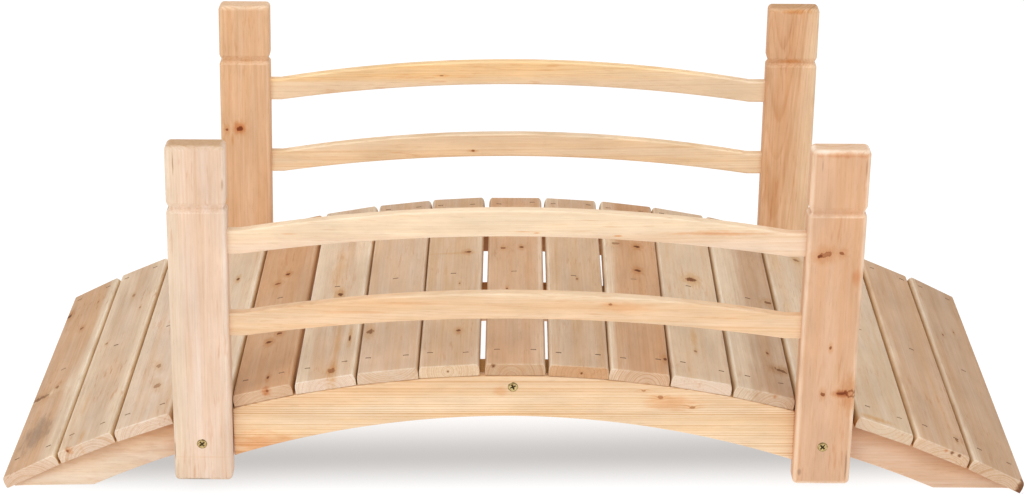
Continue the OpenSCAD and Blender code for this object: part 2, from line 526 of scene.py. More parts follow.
def softwood_group(rings, fibres):
    """Colour, roughness and height of a sawn board, from its rings, fibres, knots and ends, with pale edges
    that are partly wear and partly a painted highlight, and painted shade in the planks' gaps and under the
    planks.
    """
    n, given, result = new_group(
        "Sawn softwood", "ShaderNodeTree",
        {"Place": "vector", "Pith": "vector", "Lean": "vector", "Ring width": "float", "Wander": "float",
         "Seed": "float", "Heart": "colour", "Sap": "colour", "Sap radius": "float", "Ring strength": "float",
         "Streak strength": "float", "Fleck strength": "float", "Edge paleness": "float",
         "End tone": "colour", "End cover": "float", "Flank shade": "float", "Eave shade": "float",
         "Top shade": "float", "Shade": "float", "Core tint": "vector", "Halo tint": "vector",
         "Core": "float", "Halo": "float", "Swirl": "float"},
        {"Colour": "colour", "Roughness": "float", "Height": "float"})
    ring = n.group(rings, {key: given[key] for key in
                           ("Place", "Pith", "Lean", "Ring width", "Swirl", "Wander", "Seed")})
    fibre = n.group(fibres, {"Place": given["Place"], "Seed": given["Seed"]})
    end, arris, flank, rise = (n.mark(name) for name in ("end", "arris", "flank", "rise"))

    warm = n.stretched(given["Heart"], (1.0, 0.93, 0.84))
    pale = n.stretched(given["Heart"], (1.0, 1.03, 1.08))
    heart = n.mix(n.step(fibre["Band"], 0.30, 0.70), warm, pale)
    rim = n.plus(ring["Radius"], n.times(n.minus(fibre["Band"], 0.5), 0.040))
    body = n.mix(n.step(n.minus(rim, given["Sap radius"]), -0.012, 0.014), heart, given["Sap"])
    body = n.scaled(body, n.around_one(fibre["Band"], 0.16))
    body = n.scaled(body, n.around_one(fibre["Cloud"], 0.40))
    body = n.mix(n.times(end, given["End cover"]), body, given["End tone"])

    line = n.times(ring["Late wood"], given["Ring strength"])
    line = n.math("MULTIPLY", line, n.plus(1.0, n.times(end, 3.0)), clamp=True)
    body = n.mix(line, body, n.stretched(body, LATE_WOOD))
    streak = n.around_one(fibre["Streak"], given["Streak strength"])
    body = n.absorbed(body, STREAKS, n.math("LOGARITHM", streak, math.e))
    body = n.mix(n.times(fibre["Fleck"], given["Fleck strength"]), body, n.stretched(body, FLECKS))
    body = n.mix(n.times(fibre["Pore"], 0.25), body, n.stretched(body, PORES))

    # Pale edges, partly wear and partly a painted highlight where the rounded edges catch the light
    worn = n.times(arris, n.step(fibre["Cloud"], 0.30, 0.60, 0.5, 1.0))
    body = n.absorbed(body, EDGE_WEAR_AND_HIGHLIGHT, n.times(worn, given["Edge paleness"]))
    body = n.absorbed(body, given["Halo tint"], given["Halo"])
    body = n.absorbed(body, given["Core tint"], given["Core"])
    body = n.scaled(body, given["Shade"])
    # Painted shade down the sides in the gaps: a golden band below the upper rounding, then darker deeper
    # down
    body = n.absorbed(body, PAINTED_BROW_SHADE, n.times(n.step(flank, 0.3 * BROW, BROW), given["Flank shade"]))
    body = n.absorbed(body, PAINTED_GAP_SHADE, n.times(n.step(flank, BROW, 0.8), given["Flank shade"]))
    # Painted shadow under the planks' overhang, down the beams' faces from their upper edge
    body = n.absorbed(body, PAINTED_EAVE_SHADE, n.times(n.step(rise, 0.35, 0.95), given["Eave shade"]))
    # Painted golden shade on the top faces, which lie under the planks
    body = n.absorbed(body, PAINTED_TOP_SHADE, n.times(n.step(rise, 0.97, 1.0), given["Top shade"]))
    n.fill(result["Colour"], body)

    rough = n.plus(0.60, n.times(fibre["Streak"], 0.12))
    n.fill(result["Roughness"], n.plus(rough, n.times(end, 0.10)))
    height = n.plus(n.times(fibre["Streak"], 0.55), n.times(ring["Late wood"], 0.25))
    height = n.minus(height, n.times(fibre["Pore"], 0.45))
    n.fill(result["Height"], n.minus(height, n.times(given["Core"], 0.5)))
    return n.tree


KNOT = knot_group()
STAIN = stain_group()
SOFTWOOD = softwood_group(growth_rings_group(), fibres_group())

TONES = {
    "tan": srgb(208, 177, 146), "sand": srgb(214, 185, 157), "dusk": srgb(200, 166, 135),
    "rosy": srgb(209, 171, 137), "orange": srgb(205, 163, 126), "grey": srgb(217, 191, 162),
    "pale": srgb(220, 194, 169), "salmon": srgb(218, 174, 139), "blush": srgb(229, 201, 179),
    "amber": srgb(228, 187, 149), "bronze": srgb(220, 172, 131), "honey": srgb(236, 201, 164),
    "peach": srgb(235, 199, 161), "cream": srgb(235, 205, 176), "straw": srgb(248, 212, 162),
    "oat": srgb(248, 221, 186), "wheat": srgb(242, 211, 174), "rose": srgb(224, 187, 157),
    "sap": srgb(228, 204, 176), "straw_sap": srgb(240, 213, 180), "frost": srgb(244, 224, 202),
    "white_end": srgb(236, 210, 188), "pale_end": srgb(232, 204, 176), "yellow_end": srgb(234, 204, 170),
    "brown_end": srgb(196, 160, 124), "orange_end": srgb(206, 150, 100),
}

# What stains, the cores and halos of knots, and the painted shade under the deck take from the light
TINTS = {"smudge": (0.34, 0.34, 0.36), "resin": (0.88, 0.64, 0.40), "bark": (0.22, 0.12, 0.07),
         "rust": (0.84, 0.50, 0.32), "wedge": (0.55, 0.28, 0.15), "bleached": (1.12, 1.24, 1.30),
         "under_deck_shade": (0.50, 0.36, 0.24)}
DECK_KNOTS = ((0.28, 0.16, 0.10), (0.86, 0.70, 0.52))
PALE_KNOTS = ((0.32, 0.17, 0.10), (0.88, 0.70, 0.54))

# pith is given across and through the board, and lean is how far it strays over the board's length
Wood = namedtuple(
    "Wood",
    "heart pith ring_width sap_radius lean sap wander rings streaks fleck paleness end end_cover shade",
    defaults=((0.0, 0.0), "sap", 0.006, 0.18, 0.30, 0.50, 0.30, "pale_end", 0.35, 1.0))
# wide and long are half sizes across and along the board, and tilt turns the knot, in degrees
Knot = namedtuple("Knot", "across along wide long darkness hollow tilt", defaults=(1.0, 0.0, 0.0))
# a stain lies at a depth through the board, and is as wide, as deep and as long as it says
Stain = namedtuple("Stain", "across along wide long tint strength through deep",
                   defaults=("smudge", 0.5, 0.0, 1.0))
Board = namedtuple("Board", "wood knots stains", defaults=((), ()))


def timber(node, board, seed, flank_shade=0.0, eave_shade=0.0, top_shade=0.0, knot_tints=PALE_KNOTS):
    """Material of one board."""
    material, n, shader = new_material(node + "_wood")
    wood = board.wood
    place = n.add("ShaderNodeAttribute", attribute_name="grain").outputs["Vector"]
    masks = {"Core": 0.0, "Halo": 0.0, "Swirl": 0.0}
    for knot in board.knots:
        outputs = n.group(KNOT, {"Place": place, "Centre": (knot.across, 0.0, knot.along), "Wide": knot.wide,
                                 "Long": knot.long, "Darkness": knot.darkness, "Hollow": knot.hollow,
                                 "Tilt": math.radians(knot.tilt), **masks})
        masks = {key: outputs[key] for key in masks}
    surface = n.group(SOFTWOOD, {
        "Place": place, "Pith": (*wood.pith, 0.0), "Lean": (*wood.lean, 0.0), "Ring width": wood.ring_width,
        "Wander": wood.wander, "Seed": seed, "Heart": TONES[wood.heart], "Sap": TONES[wood.sap],
        "Sap radius": wood.sap_radius, "Ring strength": wood.rings, "Streak strength": wood.streaks,
        "Fleck strength": wood.fleck, "Edge paleness": wood.paleness, "End tone": TONES[wood.end],
        "End cover": wood.end_cover, "Flank shade": flank_shade, "Eave shade": eave_shade,
        "Top shade": top_shade, "Shade": wood.shade, "Core tint": knot_tints[0], "Halo tint": knot_tints[1],
        **masks})
    colour = surface["Colour"]
    for stain in board.stains:
        mask = n.group(STAIN, {"Place": place, "Centre": (stain.across, stain.through, stain.along),
                               "Reach": (stain.wide, stain.deep, stain.long)})["Mask"]
        colour = n.absorbed(colour, TINTS[stain.tint], n.times(mask, stain.strength))
    bump = n.add("ShaderNodeBump", {"Strength": GRAIN_BUMP, "Distance": GRAIN_RELIEF,
                                    "Height": surface["Height"]})
    n.fill(shader.inputs["Base Color"], colour)
    n.fill(shader.inputs["Roughness"], surface["Roughness"])
    n.fill(shader.inputs["Normal"], bump.outputs[0])
    shader.inputs["Specular IOR Level"].default_value = WOOD_SHEEN
    return material


# Deck planks: how each one lies, and its wood, knots and stains in its own frame

Lay = namedtuple("Lay", "shift extra skew", defaults=(0.0, 0.0, 0.0))
PLANK_LAYS = {
    5: Lay(-0.0007), 6: Lay(0.0005, 0.0006), 7: Lay(0.0, 0.0004), 8: Lay(-0.0024, -0.0006),
    9: Lay(0.0013, -0.0008), 10: Lay(0.0016, -0.0012), 11: Lay(0.0006, -0.0001, 0.0080),
    12: Lay(-0.0016, 0.0008, 0.0044), 13: Lay(-0.0005, 0.0022, 0.0020),
}
# How strongly shade is painted down the planks' sides in their gaps, on the deck and on the ramps
DECK_FLANK_SHADE, RAMP_FLANK_SHADE = 0.5, 1.1
RAMP_PLANKS = (1, 2, 3, 4, 14, 15, 16, 17)
PLANK_PALENESS = 0.75
PLANK_GRAIN_STEP = 3.7
PLANK_WOBBLE_STEP = 1.3
PLANK_MARK_Y = -0.346


def end_mark(across, size, tint, strength, through=0.0055):
    """A small round mark at the near end of a plank."""
    return Stain(across, PLANK_MARK_Y, size, 1.4 * size, tint, strength, through, size)


PLANKS = {
    1: Board(Wood("rosy", (-0.020, -0.035), 0.0035, 0.066, fleck=0.7, end="white_end", end_cover=0.5),
             [Knot(-0.037, 0.256, 0.0055, 0.0080), Knot(-0.001, -0.064, 0.0046, 0.0069, 0.55),
              Knot(-0.028, -0.082, 0.0220, 0.0075, 0.45, 0.0, 12.0),
              Knot(0.003, 0.166, 0.0048, 0.0051, 0.6), Knot(0.018, 0.264, 0.0019, 0.0037, 0.7)],
             [Stain(-0.006, -0.232, 0.030, 0.080, "smudge", 0.45),
              Stain(-0.034, -0.080, 0.020, 0.014, "bark", 0.2)]),
    2: Board(Wood("sand", (0.002, -0.030), 0.0030, 0.048, fleck=0.8, end="white_end", end_cover=0.5),
             [Knot(-0.001, 0.219, 0.0036, 0.0069, 0.35), Knot(-0.023, 0.037, 0.0024, 0.0046, 0.6),
              Knot(0.021, 0.148, 0.0019, 0.0037, 0.6)],
             [Stain(-0.021, -0.190, 0.006, 0.070, "resin", 0.35),
              Stain(-0.006, -0.322, 0.005, 0.040, "resin", 0.5),
              end_mark(-0.025, 0.0080, "rust", 0.8), end_mark(-0.027, 0.0035, "bark", 0.8)]),
    3: Board(Wood("pale", (0.010, -0.030), 0.0040, 0.060, fleck=0.6, end="white_end", end_cover=0.5),
             [Knot(0.002, -0.147, 0.0058, 0.0090, 0.5, 0.3, 20.0),
              Knot(0.010, -0.225, 0.0066, 0.0090, 0.5, 0.3, 15.0)]),
    4: Board(Wood("grey", (-0.010, -0.050), 0.0030, 0.080), [Knot(0.010, 0.131, 0.0034, 0.0060)]),
    5: Board(Wood("orange", (0.005, -0.060), 0.0030, 0.150),
             [Knot(0.005, 0.099, 0.0048, 0.0046), Knot(-0.010, 0.066, 0.0064, 0.0046, 0.6),
              Knot(0.010, -0.145, 0.0053, 0.0051, 0.8), Knot(-0.003, -0.171, 0.0062, 0.0055, 0.9),
              Knot(0.007, -0.307, 0.0026, 0.0051, 0.9)],
             [end_mark(0.008, 0.0090, "rust", 0.9), end_mark(0.009, 0.0035, "bark", 0.6)]),
    6: Board(Wood("sand", (0.004, -0.014), 0.0032, 0.033, end="white_end", end_cover=0.7),
             [Knot(0.005, -0.030, 0.0051, 0.0078), Knot(0.031, -0.210, 0.0022, 0.0126, 0.9),
              Knot(0.010, -0.322, 0.0070, 0.0110, 0.45)],
             [Stain(0.012, -0.220, 0.005, 0.150, "resin", 0.40),
              Stain(-0.002, 0.060, 0.014, 0.160, "resin", 0.35),
              Stain(0.010, -0.322, 0.010, 0.022, "resin", 0.6), end_mark(0.013, 0.0080, "resin", 0.5)]),
    7: Board(Wood("sand", (0.006, 0.045), 0.0036, 0.120, rings=0.14),
             [Knot(-0.032, -0.197, 0.0063, 0.0097, 0.6)]),
    8: Board(Wood("tan", (-0.002, 0.000), 0.0036, 0.046, wander=0.003, end="yellow_end", end_cover=0.65,
                  shade=1.02),
             [Knot(0.021, 0.099, 0.0061, 0.0041, 0.8), Knot(0.010, -0.033, 0.0018, 0.0034, 0.6),
              Knot(0.012, -0.219, 0.0048, 0.0046, 0.8)],
             [Stain(0.000, 0.096, 0.050, 0.006, "resin", 0.30), end_mark(-0.002, 0.0022, "bark", 0.9, 0.0)]),
    9: Board(Wood("rosy", (-0.006, -0.012), 0.0036, 0.054, wander=0.004, end="brown_end", end_cover=0.5),
             [Knot(0.010, 0.117, 0.0040, 0.0041, 0.8), Knot(-0.019, 0.113, 0.0057, 0.0051, 0.5),
              Knot(-0.013, -0.058, 0.0020, 0.0041, 0.8)],
             [end_mark(-0.032, 0.0042, "bark", 0.7)]),
    10: Board(Wood("tan", (0.004, -0.006), 0.0030, 0.042, wander=0.004, rings=0.14, end="orange_end",
                   end_cover=0.65),
              [Knot(0.004, -0.010, 0.0022, 0.0032, 0.6)], [end_mark(0.004, 0.0020, "bark", 0.8, -0.002)]),
    11: Board(Wood("orange", (0.012, -0.014), 0.0034, 0.050, wander=0.003, rings=0.24),
              [Knot(0.012, 0.153, 0.0057, 0.0051), Knot(-0.024, 0.157, 0.0083, 0.0060, 0.5),
               Knot(0.010, 0.048, 0.0058, 0.0055), Knot(0.039, -0.291, 0.0034, 0.0055, 0.9)]),
    12: Board(Wood("grey", (0.000, -0.080), 0.0034, 0.110, rings=0.12, end="white_end", end_cover=0.7),
              [Knot(0.005, 0.042, 0.0100, 0.0085, 0.9), Knot(-0.005, -0.245, 0.0024, 0.0046, 0.5)],
              [Stain(-0.005, -0.200, 0.006, 0.050, "resin", 0.45)]),
    13: Board(Wood("dusk", (0.022, -0.020), 0.0034, 0.046, shade=0.94),
              [Knot(0.034, 0.010, 0.0078, 0.0060, 0.7), Knot(0.015, -0.198, 0.0022, 0.0041, 0.7),
               Knot(0.031, -0.254, 0.0130, 0.0060, 0.7, 0.0, -25.0)],
              [Stain(0.031, -0.254, 0.018, 0.018, "bark", 0.2), end_mark(0.014, 0.0050, "rust", 0.9)]),
    14: Board(Wood("grey", (0.015, -0.040), 0.0032, 0.090), [Knot(0.012, 0.241, 0.0062, 0.0060, 0.5)]),
    15: Board(Wood("grey", (-0.014, 0.060), 0.0060, 0.180, (0.0, 0.100), rings=0.10, streaks=0.22), (),
              [Stain(-0.014, -0.334, 0.036, 0.010, "resin", 0.6)]),
    16: Board(Wood("dusk", (0.018, -0.035), 0.0034, 0.074, shade=1.08),
              [Knot(0.028, -0.300, 0.0031, 0.0055, 0.5)],
              [end_mark(0.014, 0.0048, "bark", 0.8), end_mark(0.005, 0.0034, "rust", 0.8),
               end_mark(0.026, 0.0034, "bark", 0.7)]),
    17: Board(Wood("dusk", (0.016, -0.030), 0.0038, 0.070),
              [Knot(-0.016, 0.129, 0.0022, 0.0041, 0.6), Knot(0.011, 0.166, 0.0022, 0.0041, 0.6)],
              [Stain(0.043, -0.347, 0.009, 0.014, "bark", 0.8)]),
}


def plank_on_arc_tree():
    """Sets a plank blank on the deck's arc, turned square to it, and roughens it a little."""
    n, given, result = new_group(
        "Plank on the arc", "GeometryNodeTree",
        {"Blank": "geometry", "Turn": "float", "Arc radius": "float", "Arc height": "float",
         "Wobble": "float", "Seed": "float", "Wood": "material"},
        {"Plank": "geometry"})
    place = n.stretched(n.add("GeometryNodeInputPosition").outputs[0], (14.0, 7.0, 14.0))
    noise = n.add("ShaderNodeTexNoise", {"Vector": place, "W": given["Seed"], "Scale": 1.0, "Detail": 2.0},
                  noise_dimensions="4D").outputs["Color"]
    offset = n.scaled(n.vector("SUBTRACT", noise, (0.5, 0.5, 0.5)), given["Wobble"])
    shaped = n.add("GeometryNodeSetPosition", {"Geometry": given["Blank"], "Offset": offset}).outputs[0]
    lift = n.joined({2: given["Arc radius"]})
    raised = n.add("GeometryNodeTransform", {"Geometry": shaped, "Translation": lift}).outputs[0]
    turn = n.add("FunctionNodeEulerToRotation", {0: n.joined({1: given["Turn"]})}).outputs[0]
    centre = n.joined({2: given["Arc height"]})
    laid = n.add("GeometryNodeTransform",
                 {"Geometry": raised, "Translation": centre, "Rotation": turn}).outputs[0]
    real = n.add("GeometryNodeRealizeInstances", {"Geometry": laid}).outputs[0]
    done = n.add("GeometryNodeSetMaterial", {"Geometry": real, "Material": given["Wood"]}).outputs[0]
    n.fill(result["Plank"], done)
    return n.tree


def through_tree(obj, tree, values):
    """Runs an object through a node tree and gives it the result as its plain mesh."""
    modifier = obj.modifiers.new(tree.name, "NODES")
    modifier.node_group = tree
    sockets = {item.name: item.identifier for item in tree.interface.items_tree if item.in_out == "INPUT"}
    for name, value in values.items():
        modifier[sockets[name]] = value
    depsgraph = bpy.context.evaluated_depsgraph_get()
    mesh = bpy.data.meshes.new_from_object(obj.evaluated_get(depsgraph), preserve_all_data_layers=True,
                                           depsgraph=depsgraph)
    obj.modifiers.remove(modifier)
    before = obj.data
    obj.data = mesh
    bpy.data.meshes.remove(before)
    mesh.name = obj.name


def far_rise(x):
    """How far the far edge of the deck stands above the arc: the right ramp is a little twisted."""
    return FAR_RISE * max(0.0, x - POST_X) / (DECK_END_X - POST_X)


def plank_turn(i):
    """Angle of a plank on the arc, from the crest."""
    return PLANK_STEP * (i - MIDDLE_PLANK) + PLANK_LAYS.get(i, Lay()).shift / DECK_RADIUS


def plank_blank(name, lay, half_len, near_trim, far_trim, rise):
    """A plank lying on the ground with its length along Y, its upper edges and its ends eased.

    rise is how far its far end strays from its near one.
    """
    half_w = (PLANK_W + PLANK_FULL + lay.extra) / 2 - PLANK_WOBBLE
    radii = (PLANK_EASE, PLANK_EASE, PLANK_LOW_EASE, PLANK_LOW_EASE)
    depths = (PLANK_EASE_DEPTH, PLANK_EASE_DEPTH, PLANK_LOW_EASE, PLANK_LOW_EASE)
    low, high = (-half_w, -PLANK_T / 2 + PLANK_WOBBLE), (half_w, PLANK_T / 2 - PLANK_WOBBLE)
    start, stop = near_trim - half_len, half_len - far_trim
    inner = [start + PLANK_END_EASE + (stop - start - 2 * PLANK_END_EASE) * k / PLANK_STATIONS
             for k in range(1, PLANK_STATIONS)]
    sections = [Section(along, low, high, radii, 0, 0, depths) for along in (start, *inner, stop)]
    sections = eased_ends(sections, PLANK_END_EASE, PLANK_END_EASE / 2, PLANK_END_EASE, PLANK_LOW_EASE)
    length_axis = Vector((lay.skew, 1, 0)) + rise / (2 * half_len)
    origin = Vector((0, 0, PLANK_T / 2)) + rise / 2
    return board_mesh(name, sections, ((1, 0, 0), (0, 0, 1), length_axis), origin)


def make_planks():
    """The deck: every plank with its own lay, trimmed ends and wood."""
    tree = plank_on_arc_tree()
    chance = random.Random(SEED)
    for i, board in PLANKS.items():
        node = f"plank_{i:02d}"
        low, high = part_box(node)
        trims = [chance.uniform(0, PLANK_TRIM) for _ in range(2)]
        turn = plank_turn(i)
        rise = far_rise(DECK_RADIUS * math.sin(turn)) * Vector((-math.sin(turn), 0, math.cos(turn)))
        blank = plank_blank(node, PLANK_LAYS.get(i, Lay()), (high.y - low.y) / 2, *trims, rise)
        obj = new_object("deck_" + node, blank)
        board = board._replace(wood=board.wood._replace(paleness=PLANK_PALENESS))
        flank_shade = RAMP_FLANK_SHADE if i in RAMP_PLANKS else DECK_FLANK_SHADE
        wood = timber(node, board, PLANK_GRAIN_STEP * i, flank_shade, knot_tints=DECK_KNOTS)
        through_tree(obj, tree, {"Turn": turn, "Arc radius": DECK_RADIUS, "Arc height": ARC_Z,
                                 "Wobble": 2 * PLANK_WOBBLE, "Seed": PLANK_WOBBLE_STEP * i, "Wood": wood})
        piece(obj, None, "deck_wood", node)


# Posts

# lean is in degrees along X
PostLay = namedtuple("PostLay", "lean shift drop extra")
POST_LAYS = {
    "front_left_post": PostLay(0.6, -0.0020, 0.0, 0.0015),
    "front_right_post": PostLay(0.6, -0.0020, 0.0015, 0.0),
    "back_left_post": PostLay(0.9, -0.0020, 0.0015, 0.0),
    "back_right_post": PostLay(0.35, 0.0018, 0.0010, 0.0),
}
POST_GRAIN, POST_GRAIN_STEP = 5.1, 2.3
POSTS = {
    "front_left_post": Board(
        Wood("blush", (0.012, 0.050), 0.0034, 0.080, rings=0.22, streaks=0.48, paleness=0.5,
             end="brown_end", end_cover=0.9), (),
        [Stain(-0.0305, 0.237, 0.0012, 0.020, "bark", 0.3), Stain(0.039, 0.205, 0.0020, 0.010, "bark", 0.2),
         Stain(-0.041, -0.210, 0.0014, 0.020, "bark", 0.6),
         Stain(-0.010, -0.2605, 0.030, 0.0030, "smudge", 0.6),
         Stain(0.0, -0.2230, 0.060, 0.0016, "resin", 0.2)]),
    "front_right_post": Board(
        Wood("salmon", (-0.010, 0.045), 0.0030, 0.185, sap="frost", rings=0.12, streaks=0.26, paleness=1.55,
             end_cover=0.6),
        [Knot(-0.0150, 0.1050, 0.0130, 0.0042, 0.70, 0.5, 14.0),
         Knot(-0.0225, 0.1028, 0.0046, 0.0028, 0.95, 0.0, 13.0),
         Knot(0.009, 0.1072, 0.0050, 0.0028, 0.6, 0.0, -25.0), Knot(0.001, -0.040, 0.0026, 0.0030, 0.7),
         Knot(-0.006, -0.115, 0.0038, 0.0034, 0.7), Knot(0.0345, -0.1135, 0.0095, 0.0090, 1.0, 1.0),
         Knot(0.021, -0.1130, 0.0100, 0.0026, 0.6)],
        [Stain(0.022, -0.1135, 0.016, 0.0075, "wedge", 0.75),
         Stain(0.035, -0.226, 0.0020, 0.030, "smudge", 0.5),
         Stain(-0.033, -0.241, 0.0030, 0.0060, "smudge", 0.4),
         Stain(-0.0265, 0.241, 0.0014, 0.012, "smudge", 0.25),
         Stain(0.036, 0.237, 0.0016, 0.014, "bark", 0.2), Stain(0.031, 0.071, 0.009, 0.016, "rust", 0.5),
         Stain(0.0, 0.256, 0.050, 0.0050, "rust", 0.4)]),
    "back_left_post": Board(
        Wood("amber", (0.004, 0.060), 0.0030, 0.120, rings=0.38, streaks=0.44, paleness=0.5, end_cover=0.6),
        [Knot(-0.0315, 0.047, 0.0034, 0.0028, 0.7), Knot(-0.0096, 0.0488, 0.0066, 0.0044, 0.85)],
        [Stain(-0.022, 0.030, 0.003, 0.014, "resin", 0.5), Stain(-0.010, 0.049, 0.016, 0.012, "rust", 0.7)]),
    "back_right_post": Board(
        Wood("bronze", (-0.018, 0.034), 0.0034, 0.060, (0.0, -0.045), "honey", rings=0.40, streaks=0.45,
             end="brown_end", end_cover=0.7), (),
        [Stain(-0.004, 0.1710, 0.026, 0.0045, "resin", 0.7),
         Stain(0.0, 0.2575, 0.034, 0.0045, "resin", 0.8)]),
}


def post_mesh(name, low, high, lay):
    """A post: rounded all along and at both ends, with a groove all round near its top, leaning along X."""
    half_u, half_v = (high.x - low.x + lay.extra) / 2, (high.y - low.y) / 2
    middle = (low + high) / 2
    top = high.z - middle.z
    flat = top - POST_ROUND - SUPPORT
    deepest = top - GROOVE_DROP
    low_lip, high_lip = deepest - GROOVE_BELOW, deepest + GROOVE_ABOVE
    lip, depth = GROOVE_LIP, GROOVE_DEPTH

    def at(along, drawn_in=0.0, rim=0.0):
        plain = Section(along, (-half_u, -half_v), (half_u, half_v), [POST_ROUND] * 4, 0, 0)
        return inset(plain, along, drawn_in, drawn_in, drawn_in, rim, 0)

    # A worn lower lip with a painted highlight along it (rim), a slope to the deepest line and a longer one
    # to the upper lip
    notch = [at(low_lip - 3 * lip), at(low_lip - lip, 0.0001, 0.5), at(low_lip, 0.0004, 1.0),
             at(low_lip + lip, depth * 0.16, 0.8), at(deepest - lip, depth * 0.94), at(deepest, depth),
             at(deepest + lip, depth * 0.96), at(high_lip - lip, depth * 0.07), at(high_lip, depth * 0.02),
             at(high_lip + 2 * lip)]
    sections = eased_ends([at(-top), at(-flat), *notch, at(flat), at(top)],
                          POST_ROUND, POST_ROUND, POST_ROUND, POST_ROUND)
    slant = math.tan(math.radians(lay.lean))
    origin = middle + Vector((lay.shift + slant * top, 0, -lay.drop))
    return board_mesh(name, sections, ((1, 0, 0), (0, 1, 0), (slant, 0, 1)), origin)


def make_posts():
    """The four posts."""
    for k, (node, board) in enumerate(POSTS.items()):
        obj = new_object("dressed_" + node, post_mesh(node, *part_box(node), POST_LAYS[node]))
        piece(obj, timber(node, board, POST_GRAIN + POST_GRAIN_STEP * k), "post_wood", node)


# Bowed boards: rails, arch boards and stringers

RAIL_GRAIN, ARCH_GRAIN, STRINGER_GRAIN, GRAIN_STEP = 17.3, 41.3, 61.3, 3.1
# Strength of the shadow painted under the plank ends on the arch boards, and of the shade painted on the
# stringers' tops
ARCH_EAVE_SHADE = 0.2
STRINGER_TOP_SHADE = 1.0
RAILS = {
    "front_upper_rail": Board(
        Wood("cream", (-0.060, 0.010), 0.0042, 0.045, (0.02, 0.0), "straw_sap", fleck=0.5), (),
        [Stain(-0.0136, 0.031, 0.0014, 0.007, "rust", 0.8), Stain(-0.012, 0.020, 0.0012, 0.030, "rust", 0.5),
         Stain(-0.0176, 0.147, 0.0014, 0.006, "rust", 0.8),
         Stain(-0.0130, 0.290, 0.0036, 0.090, "rust", 0.60),
         Stain(-0.0090, 0.310, 0.0016, 0.060, "rust", 0.45),
         Stain(-0.017, -0.326, 0.0020, 0.014, "rust", 0.3)]),
    "front_lower_rail": Board(
        Wood("peach", (-0.050, 0.004), 0.0048, 0.065, (-0.03, 0.0), "straw_sap", rings=0.22, fleck=0.5),
        [Knot(0.004, 0.138, 0.0022, 0.0034, 0.5)],
        [Stain(-0.010, -0.230, 0.0030, 0.080, "rust", 0.25),
         Stain(0.004, -0.160, 0.0030, 0.070, "rust", 0.2), Stain(0.0, 0.160, 0.012, 0.050, "rust", 0.25)]),
    "back_upper_rail": Board(
        Wood("straw", (0.070, 0.010), 0.0040, 0.080, (0.02, 0.0), "straw_sap", rings=0.36, fleck=0.5),
        [Knot(-0.005, -0.123, 0.0012, 0.0040, 0.7)]),
    "back_lower_rail": Board(
        Wood("oat", (-0.080, 0.010), 0.0040, 0.090, (0.02, 0.0), "straw_sap", rings=0.40, fleck=0.5),
        [Knot(-0.010, -0.071, 0.0020, 0.0030, 0.7)]),
}
ARCH_BOARD = Board(
    Wood("wheat", (-0.300, 0.060), 0.0038, 0.600, (0.004, 0.0), "straw_sap", wander=0.003, rings=0.95,
         streaks=0.25, fleck=0.15),
    [Knot(0.000, 0.215, 0.0030, 0.0050, 0.4), Knot(-0.016, 0.262, 0.0026, 0.0050, 0.4),
     Knot(0.010, 0.190, 0.0020, 0.0040, 0.3)],
    [Stain(-0.085, -0.370, 0.030, 0.070, "rust", 0.6), Stain(0.010, -0.021, 0.012, 0.012, "rust", 0.3),
     Stain(-0.010, 0.230, 0.016, 0.050, "rust", 0.4)])
STRINGER = Board(Wood("rose", (-0.070, 0.040), 0.0040, 0.200, wander=0.004, rings=0.14, shade=0.96), (),
                 [Stain(-0.130, -0.660, 0.250, 0.240, "bleached", 1.3)])
# The back stringer's inner face, under the deck, carries painted shade
BACK_STRINGER = STRINGER._replace(
    stains=STRINGER.stains + [Stain(0.0, 0.0, 0.200, 0.600, "under_deck_shade", 1.3, -0.026, 0.040)])


def arc_height(x, half_chord, rise):
    """Height of an arc above its chord's ends, at a distance from its crest."""
    radius = (half_chord ** 2 + rise ** 2) / (2 * rise)
    return math.sqrt(radius ** 2 - x ** 2) - (radius - rise)


def straight(x):
    """The sway of a board that doesn't stray."""
    return 0.0


def bowed_board(node, stops, low_z, high_z, sway=straight):
    """A board set on edge along X between two curves, which give its lower and upper edge at x.

    stops are (x, number of steps to the next stop) from the middle towards an end, and sway is how far the
    board strays along Y at x.
    """
    low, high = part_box(node)
    stops = [*stops, (high.x - BOARD_END, 1), (high.x, 0)]
    half = []
    for (a, steps), (b, _) in zip(stops, stops[1:]):
        half += [a + (b - a) * k / steps for k in range(steps)]
    half.append(high.x)
    mid_y, mid_z = (low.y + high.y) / 2, (low_z(0) + high_z(0)) / 2
    half_t = (high.y - low.y) / 2
    sections = []
    for x in [-x for x in half[:0:-1]] + half:
        bottom, top = low_z(x) - mid_z, high_z(x) - mid_z
        radius = min(BOARD_EASE, (top - bottom) / 4)
        stray = sway(x)
        sections.append(Section(x, (bottom, stray - half_t), (top, stray + half_t), [radius] * 4, 0, 0))
    tip = min(BOARD_EASE, (sections[0].high[0] - sections[0].low[0]) / 4)
    sections = eased_ends(sections, tip, tip, tip, tip)
    mesh = board_mesh(node, sections, ((0, 0, 1), (0, 1, 0), (1, 0, 0)), (0, mid_y, mid_z))
    return new_object("dressed_" + node, mesh)


def make_rails():
    """Two rails on each side, bowed between the posts and level where they enter them."""
    bow_x = POST_SIDE_X - RAIL_FLAT
    for k, (node, board) in enumerate(RAILS.items()):
        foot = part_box(node)[0].z

        def low_z(x):
            return foot + (arc_height(x, bow_x, RAIL_RISE) if abs(x) < bow_x else 0)

        def high_z(x):
            rise = RAIL_RISE + RAIL_MID_H - RAIL_END_H
            return foot + RAIL_END_H + (arc_height(x, bow_x, rise) if abs(x) < bow_x else 0)

        obj = bowed_board(node, [(0, 30), (bow_x, 4)], low_z, high_z)
        piece(obj, timber(node, board, RAIL_GRAIN + GRAIN_STEP * k), "rail_wood", node)


